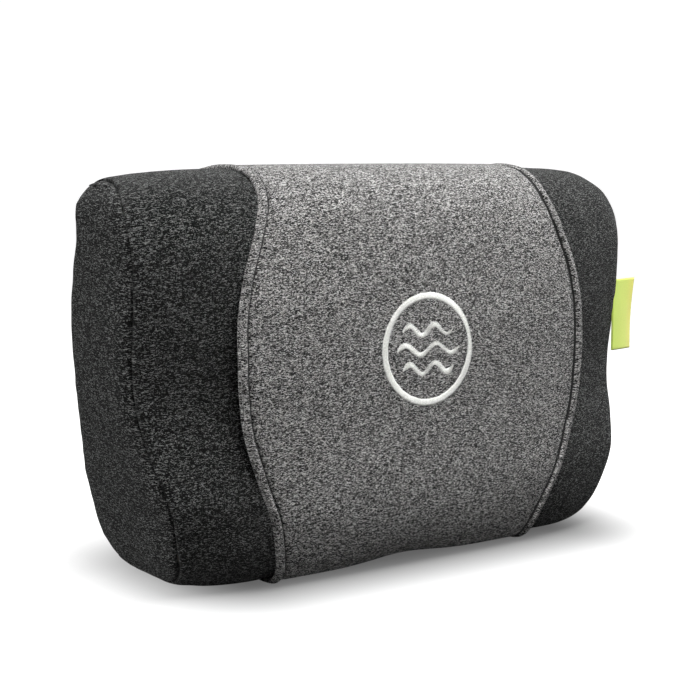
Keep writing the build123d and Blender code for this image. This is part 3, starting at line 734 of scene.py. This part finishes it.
# ---- Flap ----
FLAP_V, FLAP_ALONG = even(FLAP_LINE[:, :2], 0, len(FLAP_LINE) - 1, 2.0)
FLAP_ROWS = spline(FLAP_LINE, FLAP_V)
FLAP_DIRECTION = unit(np.gradient(FLAP_ROWS[:, :2], axis=0))


def flap_surface(along, x, depth):
    """A point of the flap, depth outwards from its outer face, at a distance along its line."""
    along = np.asarray(along, float)
    x = np.asarray(x, float)
    y, z, half, roll = [np.interp(along, FLAP_ALONG, FLAP_ROWS[:, k]) for k in range(4)]
    # To the outside of the line, which runs forward and down.
    out_z = -np.interp(along, FLAP_ALONG, FLAP_DIRECTION[:, 0])
    out_y = np.interp(along, FLAP_ALONG, FLAP_DIRECTION[:, 1])
    share = np.abs(x) / half
    sink = roll * share**2.4 + ARCH * np.exp(-((x / ARCH_X) ** 2)) * smooth((18 - z) / 14)
    offset = depth - sink
    aside = TAIL_ASIDE * smooth((48 - z) / 36)
    return np.stack([x - aside, y + out_y * offset, z + out_z * offset], axis=-1)


def flap_edge(along):
    return np.interp(along, FLAP_ALONG, FLAP_ROWS[:, 2])


def flap_cloth():
    """The flap as one closed sheet: folded hems, a stitched groove inside them, rounded edges."""
    inner_share = 1 - 2 * HEM / 100
    hem_share = np.linspace(1, inner_share, 37)[:-1]
    shares = np.concatenate([-hem_share, np.linspace(-inner_share, inner_share, 92), hem_share[::-1]])
    rim = np.linspace(0, math.pi, 7)[1:-1]
    rows = []
    knit_rows = []
    stitched = []
    end = FLAP_ALONG[-1]
    for along in FLAP_ALONG:
        half = flap_edge(along) - FLAP_T / 2
        x = shares * half
        from_edge = np.minimum(half - np.abs(x), end - along)
        off = from_edge - HEM
        groove = GROOVE[0] * np.exp(-np.abs(off / GROOVE[1]) ** 1.8)
        groove += GROOVE_VALLEY[0] * np.exp(-((off / GROOVE_VALLEY[1]) ** 2))
        # Faces in the groove take the black thread's colour: partly the thread itself, partly painted shade
        # in the groove.
        sewn = np.zeros(4 * len(x), bool)
        sewn[:len(x)] = np.abs(off) < 0.8
        stitched.append(sewn)
        hem = HEM_T * (1 - smooth((from_edge - HEM + 0.6) / 1.2))
        crown = HEM_CROWN * (0.25 + 0.75 * float(smooth((along - 32) / 40)))
        hem = hem + crown * np.sin(math.pi * np.clip(from_edge / HEM, 0, 1)) ** 0.7
        sewn_down = SEWN_DOWN * (1 - float(smooth((along - 1.5) / 5)))
        sewn_down += SEWN_DOWN * math.exp(-(((along - 4) / 0.8) ** 2))
        outer = flap_surface(along, x, (hem - groove) * float(smooth(along / 7)) - sewn_down)
        inner = flap_surface(along, x[::-1], -FLAP_T)
        middle_depth = (HEM_T - FLAP_T) / 2
        radius = (HEM_T + FLAP_T) / 2
        right = flap_surface(along, half + np.sin(rim) * radius, middle_depth + np.cos(rim) * radius)
        left = flap_surface(along, -half - np.sin(rim) * radius, middle_depth - np.cos(rim) * radius)
        rows.append(np.concatenate([outer, right, inner, left]))
        across = np.concatenate([x, half + rim, x[::-1], -half - rim])
        knit_rows.append(np.stack([across, np.full(len(across), 900 - along)], axis=-1))
    points = np.array(rows)
    columns = points.shape[1]
    count = len(shares)
    flat = points.reshape(-1, 3)
    soft = ripple(flat, *FLAP_SOFT) + ripple(flat, *FLAP_SAG)
    settle = smooth((FLAP_ALONG[:, None] - 20) / 40) * smooth((end - FLAP_ALONG[:, None] - 45) / 30)
    soft = soft * np.broadcast_to(settle, points.shape[:2]).reshape(-1)
    flat[:, 1] -= np.abs(soft) * 0.6
    flat[:, 2] = np.maximum(flat[:, 2], 0.05)  # pressed flat where the pillow stands on it
    faces = grid_faces(len(rows), columns, closed=True)
    for row in (0, len(rows) - 1):
        first = row * columns
        loop = list(range(first, first + columns))
        outer = loop[:count]
        inner = loop[count + len(rim):2 * count + len(rim)][::-1]
        cap = [(outer[k], outer[k + 1], inner[k + 1], inner[k]) for k in range(count - 1)]
        right = loop[count - 1:count + len(rim) + 1]
        left = loop[2 * count + len(rim) - 1:] + [loop[0]]
        cap += [tuple(right), tuple(left)]
        faces += cap if row else [face[::-1] for face in cap]
    piece = turn_outwards(new_mesh("flap_cloth", flat, faces, np.array(knit_rows).reshape(-1, 2)))
    for material in (LIGHT, LINING, TOPSTITCH):
        piece.data.materials.append(material)
    inner_first = count + len(rim)
    for face in piece.data.polygons:
        columns_used = [v % columns for v in face.vertices]
        if min(columns_used) >= inner_first and max(columns_used) < inner_first + count:
            face.material_index = 1
        # Groove faces: black as the thread, and as painted shade in the groove.
        elif all(stitched[v // columns][v % columns] for v in face.vertices):
            face.material_index = 2
    return piece


def strand(length, width, height, segments=5, sides=6):
    """One raised stitch along X, as rows of half-round sections: points and faces."""
    points = []
    for k in range(segments + 1):
        u = k / segments
        swell = math.sin(math.pi * (0.12 + 0.76 * u))
        for j in range(sides):
            a = 2 * math.pi * j / sides
            points.append((
                (u - 0.5) * length,
                math.cos(a) * width / 2 * (0.6 + 0.4 * swell),
                math.sin(a) * height / 2 * (0.6 + 0.4 * swell) + height * 0.35 * swell,
            ))
    faces = grid_faces(segments + 1, sides, closed=True)
    faces.append(tuple(range(sides - 1, -1, -1)))
    faces.append(tuple(range(segments * sides, (segments + 1) * sides)))
    return np.array(points), faces


STRAND = strand(1.0, 1.0, 1.0)


def lay_strands(name, places):
    """Stitches at (start point, end point, outward direction, width, height)."""
    base, base_faces = STRAND
    all_points, all_faces = [], []
    for start, end, out, width, height in places:
        start, end = np.asarray(start, float), np.asarray(end, float)
        length = np.linalg.norm(end - start)
        forward = (end - start) / length
        side = unit(np.cross(out, forward))
        up = np.cross(forward, side)
        made = (start + end) / 2 + base[:, :1] * length * forward
        made = made + base[:, 1:2] * width * side + base[:, 2:3] * height * up
        first = len(all_points) * len(base)
        all_points.append(made)
        all_faces += [tuple(first + i for i in face) for face in base_faces]
    return new_mesh(name, np.concatenate(all_points), all_faces)


def flap_topstitch():
    """Lockstitches in the groove along both sides and along the tail."""
    pitch, length, sink = 3.2, 2.8, -1.1
    width, height = 1.0, 0.6
    places = []
    end = FLAP_ALONG[-1]
    for side in (-1, 1):
        along = 3.0
        while along + pitch < end - HEM:
            start, stop, middle = [(a, side * (flap_edge(a) - FLAP_T / 2 - HEM))
                                   for a in (along, along + length, along + length / 2)]
            first, last = flap_surface(*start, sink), flap_surface(*stop, sink)
            out = flap_surface(*middle, 1.0) - flap_surface(*middle, 0.0)
            places.append((first, last, out, width, height))
            along += pitch
    half = flap_edge(end) - HEM - 4
    for x in np.arange(-half, half, pitch):
        first, last = flap_surface(end - HEM, x, sink), flap_surface(end - HEM, x + length, sink)
        out = flap_surface(end - HEM, x, 1.0) - flap_surface(end - HEM, x, 0.0)
        places.append((first, last, out, width, height))
    return lay_strands("flap_topstitch", places)


FRONT_FIRST = int(np.argmax(FLAP_ROWS[:, 1] < 203))
FRONT_LAST = int(np.argmax(FLAP_ROWS[:, 1] < 30))


def along_at(z):
    """Distance along the flap's line to a height on its front."""
    heights = FLAP_ROWS[FRONT_FIRST:FRONT_LAST, 1]
    return np.interp(-np.asarray(z), -heights, FLAP_ALONG[FRONT_FIRST:FRONT_LAST])


def on_flap(x, z, depth):
    return flap_surface(along_at(z), x, depth)


def emblem():
    """Satin-stitched ring with three waves."""
    count = int(2 * math.pi * RING_R[1] / SATIN_STEP)
    middle_r = sum(RING_R) / 2
    turn = np.linspace(0, 2 * math.pi, count + 1)
    ring = [(middle_r * math.cos(a), middle_r * math.sin(a)) for a in turn]
    bands = [(ring, RING_R[1] - RING_R[0], True)]
    for half, row in WAVES:
        xs = np.arange(-half, half + SATIN_STEP / 2, SATIN_STEP)
        wave = [(x, row + WAVE_RISE * math.sin(2 * math.pi * x / half)) for x in xs]
        bands.append((wave, WAVE_T, False))
    places = []
    for path, width, closed in bands:
        path = np.array(path)
        direction = np.gradient(path, axis=0)
        if closed:
            direction[0] = direction[-1] = path[1] - path[-2]
        direction = unit(direction)
        cross = np.stack([-direction[:, 1], direction[:, 0]], axis=-1)
        last = len(path) - 1 if closed else len(path)
        for k in range(last):
            taper = 1.0
            if not closed:
                taper = min(1.0, 0.35 + min(k, last - 1 - k) / 7)
            vary = 1 + 0.05 * math.sin(k * 12.9898)
            reach = cross[k] * width / 2 * taper * vary
            slant = direction[k] * 0.35
            ends = (path[k] - reach - slant, path[k] + reach + slant)
            start, stop = [on_flap(x, EMBLEM_Z + rise, 0.12) for x, rise in ends]
            x, z = path[k][0], EMBLEM_Z + path[k][1]
            places.append((start, stop, on_flap(x, z, 1.0) - on_flap(x, z, 0.0), SATIN_T, SATIN_T))
    return lay_strands("emblem_embroidery", places)


def pile_strip(name, body, node, low, high):
    """Hook or loop strip across the underside, arched with it, between two heights."""
    points = []
    places = np.linspace(-STRIP_X, STRIP_X - 2 * TAIL_ASIDE, 61)
    for x in places:
        lift = ARCH * math.exp(-((x / ARCH_X) ** 2))
        points += [(x, y, z + lift) for y, z in zip(STRIP_Y + STRIP_Y[::-1], (low, low, high, high))]
    faces = grid_faces(len(places), 4, closed=True)
    faces += [(3, 2, 1, 0), tuple(range(len(points) - 4, len(points)))]
    piece = turn_outwards(new_mesh(name, points, faces, smooth_faces=False))
    finish_piece(piece, body, "hook_and_loop", SLOT_MATERIALS["hook_and_loop"])
    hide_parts(node)


def flap():
    cloth = flap_cloth()
    finish_piece(cloth, None, "light_knit")
    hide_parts("flap_front_panel", "flap_lining", "flap_top_panel")
    stitched = flap_topstitch()
    finish_piece(stitched, None, "light_knit", TOPSTITCH)
    badge = emblem()
    finish_piece(badge, "flap", "embroidery", EMBROIDERY)
    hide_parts("flap_emblem")
    pile_strip("hook_strip", "flap", "flap_hook_strip", 2.65, 3.7)
    pile_strip("loop_strip", "pillow", "cover_loop_strip", 4.15, 4.95)
    for piece in (cloth, stitched):
        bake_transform(piece)


# ---- Tab ----
TAB_START = (173.6, -32.4)  # in the right front seam, (x, y)
TAB_LENGTH = 20.0
TAB_ANGLE = math.radians(12)
TAB_Z = (111.0, 157.0)


def side_tab():
    """Folded ribbon: two plies with a round fold, bowed a little along its length."""
    ply, gap = 0.45, 0.35
    r = gap / 2 + ply
    ply_run = [(k, r) for k in np.linspace(-3, TAB_LENGTH - 1, 22)]
    turn = np.linspace(math.pi / 2, -math.pi / 2, 9)[1:-1]
    fold = [(TAB_LENGTH - 1 + math.cos(a) * r * 1.4, math.sin(a) * r) for a in turn]
    outer = ply_run + fold + [(k, -d) for k, d in reversed(ply_run)]
    inner = [(k - (0.4 if k > TAB_LENGTH - 1.5 else 0), d * (gap / 2) / r) for k, d in outer]
    section = outer + inner[::-1]
    rows = []
    flat_places = []
    count = len(section)
    heights = np.linspace(TAB_Z[0], TAB_Z[1], 40)
    for z in heights:
        share = (z - TAB_Z[0]) / (TAB_Z[1] - TAB_Z[0])
        bow = 1.3 * math.sin(math.pi * share)
        for k, d in section:
            far = max(k, 0) / TAB_LENGTH
            side = d + (bow * 0.8 + 2.2 * far**2 * (0.5 - share)) * far
            reach = k + 0.6 * (share - 0.5) * far
            x = TAB_START[0] + reach * math.cos(TAB_ANGLE) - side * math.sin(TAB_ANGLE)
            y = TAB_START[1] + reach * math.sin(TAB_ANGLE) + side * math.cos(TAB_ANGLE)
            rows.append((x, y, z + 0.5 * far * (share - 0.5)))
            flat_places.append((k, z))
    faces = grid_faces(len(heights), count, closed=True)
    for row in (0, len(heights) - 1):
        first, last = row * count, (row + 1) * count
        faces += [(first + k, first + k + 1, last - 2 - k, last - 1 - k) for k in range(len(outer) - 1)]
    piece = turn_outwards(new_mesh("ribbon_tab", rows, faces, flat_places))
    finish_piece(piece, "pillow", "ribbon", ribbon_cloth())
    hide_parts("side_tab")


def ribbon_cloth():
    """Lime satin ribbon: fine cross ribs, with painted light that makes it lighter and yellower towards the
    fold, as if lit through.
    """
    shade = Shade("lime_ribbon")
    cloth = shade.node("Attribute", attribute_name="knit").outputs["Vector"]
    split = shade.node("SeparateXYZ", {0: cloth})
    ribs = shade.math("SINE", shade.math("MULTIPLY", split.outputs[1], 2 * math.pi / 0.42))
    warp = shade.math("SINE", shade.math("MULTIPLY", split.outputs[0], 2 * math.pi / 0.5))
    weave = shade.math("MULTIPLY_ADD", warp, 0.3, ribs)
    far = shade.math("DIVIDE", split.outputs[0], TAB_LENGTH)
    # Painted light: lighter and yellower towards the fold, as if the ribbon were lit through there.
    base = shade.ramp(far, (0.0, (0.62, 0.78, 0.13)), (0.6, (0.74, 0.85, 0.17)), (1.0, (0.90, 0.85, 0.20)))
    slub = shade.noise(shade.scaled(cloth, (0.5, 3.0, 1)), 1.0, 3.0)
    colour = shade.vector("MULTIPLY", base, shade.math("MULTIPLY_ADD", slub, 0.22, 0.89))
    return shade.done(
        Base_Color=colour, Roughness=0.6, Normal=shade.bump(weave, 0.00008, 0.5),
        Sheen_Weight=0.3, Sheen_Roughness=0.4,
    )


# ---- Zip ----
ZIP_X, ZIP_FACE, ZIP_Z = 125.0, 56.2, 33.0  # half-length, the tape's outer face, height


def zip_teeth():
    """The coil down the middle of the zip's tape, and the stitches along its two edges."""
    out = (0, 1, 0)
    lean, reach = 0.25, 1.9
    coil = [((x - lean, ZIP_FACE, ZIP_Z - reach), (x + lean, ZIP_FACE, ZIP_Z + reach), out, 0.9, 0.36)
            for x in np.arange(1 - ZIP_X, ZIP_X, 1.5)]
    finish_piece(lay_strands("zip_coil", coil), "pillow", "zip_tape",
                 moulded("zip_coil_nylon", (0.06, 0.06, 0.062), 0.3))
    sewn = [((x, ZIP_FACE, ZIP_Z + edge), (x + 2.8, ZIP_FACE, ZIP_Z + edge), out, 0.5, 0.36)
            for edge in (-4.0, 4.0) for x in np.arange(1 - ZIP_X, ZIP_X - 3, 3.2)]
    finish_piece(lay_strands("zip_stitches", sewn), "pillow", "zip_tape", TOPSTITCH)


# ---- Stage ----
FLOOR_BOUNCE = 0.22
# The floor's glow, lowered to this at the middle of the painted shadow.
FLOOR_GLOW = 0.12
PAINTED_SHADOW_MIDDLE = (0.008, 0.004, 0.0)  # the painted shadow under the pillow is centred on this place,
PAINTED_SHADOW_REACH = (0.108, 0.030, 0.0)  # this far each way,
PAINTED_SHADOW_FADE = 0.11  # and gone this much further out
FLOOR_PAINTED_SHADE = (0.04, 0.34)  # the floor's tone in the painted shadow and out of it
AMBIENT = 0.04


def floor():
    """White floor that bounces little light back; near the pillow its glow and tone fall off in a painted
    shadow, on top of the lamps' own shadow.
    """
    size = 8.0
    corners = np.array([(-1, -1, 0), (1, -1, 0), (1, 1, 0), (-1, 1, 0)])
    ground = new_mesh("floor", corners * size / MM, [(0, 1, 2, 3)])
    shade = Shade("floor_white_painted_shadow")
    place = shade.node("TexCoord").outputs["Object"]
    side = shade.vector("ABSOLUTE", shade.vector("SUBTRACT", place, PAINTED_SHADOW_MIDDLE))
    side = shade.vector("MAXIMUM", shade.vector("SUBTRACT", side, PAINTED_SHADOW_REACH), (0, 0, 0))
    far = shade.vector("LENGTH", side, output="Value")
    seen = shade.node("LightPath").outputs["Is Camera Ray"]
    # Painted shadow: the floor's glow and tone fall off towards the pillow.
    rise = shade.node("MapRange", {"Value": far, "From Min": 0.0, "From Max": PAINTED_SHADOW_FADE,
                                   "To Min": FLOOR_GLOW, "To Max": 1.0}, interpolation_type="SMOOTHSTEP")
    dull = shade.ramp(shade.noise(place, 3.0, 2.0), (0.3, grey(0.98)), (0.7, grey(1.0)))
    painted_shadow_tone = shade.mix(rise.outputs[0], *(grey(tone) + (1,) for tone in FLOOR_PAINTED_SHADE))
    tone = shade.mix(seen, grey(FLOOR_BOUNCE) + (1,), painted_shadow_tone)
    tone = shade.vector("MULTIPLY", tone, dull)
    ground.data.materials.append(shade.done(
        Base_Color=tone, Roughness=0.9, Emission_Color=(1, 1, 1, 1),
        Emission_Strength=shade.math("MULTIPLY", seen, rise.outputs[0]), Specular_IOR_Level=0.05,
    ))


def lamp(name, place, target, size, power):
    data = bpy.data.lights.new(name, "AREA")
    data.shape = "RECTANGLE"
    data.size, data.size_y = size
    data.energy = power
    made = bpy.data.objects.new(name, data)
    made.location = place
    made.rotation_mode = "QUATERNION"
    made.rotation_quaternion = (Vector(target) - Vector(place)).to_track_quat("-Z", "Y")
    bpy.context.scene.collection.objects.link(made)


def lighting():
    world = bpy.data.worlds.new("studio")
    bpy.context.scene.world = world
    world.use_nodes = True
    tree = world.node_tree
    back = tree.nodes["Background"]
    back.inputs[0].default_value = (1, 1, 1, 1)
    seen = tree.nodes.new("ShaderNodeLightPath")
    strength = tree.nodes.new("ShaderNodeMix")
    strength.inputs[2].default_value = AMBIENT
    strength.inputs[3].default_value = 1.05
    tree.links.new(seen.outputs["Is Camera Ray"], strength.inputs[0])
    tree.links.new(strength.outputs[0], back.inputs[1])
    middle = (0.0, 0.0, 0.11)
    lamp("key_top", (0.06, -0.275, 0.64), middle, (0.80, 0.28), 8.2)
    lamp("fill_front", (-0.2, -1.2, 0.9), middle, (0.8, 0.5), 0.4)
    lamp("fill_left", (-1.2, 0.15, 0.5), middle, (0.5, 0.8), 10.5)
    lamp("fill_right", (1.2, 0.0, 0.5), middle, (0.5, 0.8), 3.5)
    lamp("fill_back", (0.2, 1.2, 0.8), middle, (0.8, 0.5), 6.0)


def camera():
    """Low and from the left, level with the pillow."""
    azimuth, elevation, distance = math.radians(35), math.radians(7.37), 0.834
    target = Vector((-0.0489, -0.050, 0.1292))
    level = math.cos(elevation)
    back = Vector((-level * math.sin(azimuth), -level * math.cos(azimuth), math.sin(elevation)))
    data = bpy.data.cameras.new("camera")
    data.lens = 77.1
    data.sensor_width = 36
    made = bpy.data.objects.new("camera", data)
    made.location = target + back * distance
    made.rotation_mode = "QUATERNION"
    made.rotation_quaternion = (-back).to_track_quat("-Z", "Y")
    bpy.context.scene.collection.objects.link(made)
    bpy.context.scene.camera = made


camera()
floor()
lighting()
bpy.context.scene.view_settings.view_transform = "Standard"
dress_cad_nodes()
cover()
foam()
flap()
side_tab()
zip_teeth()
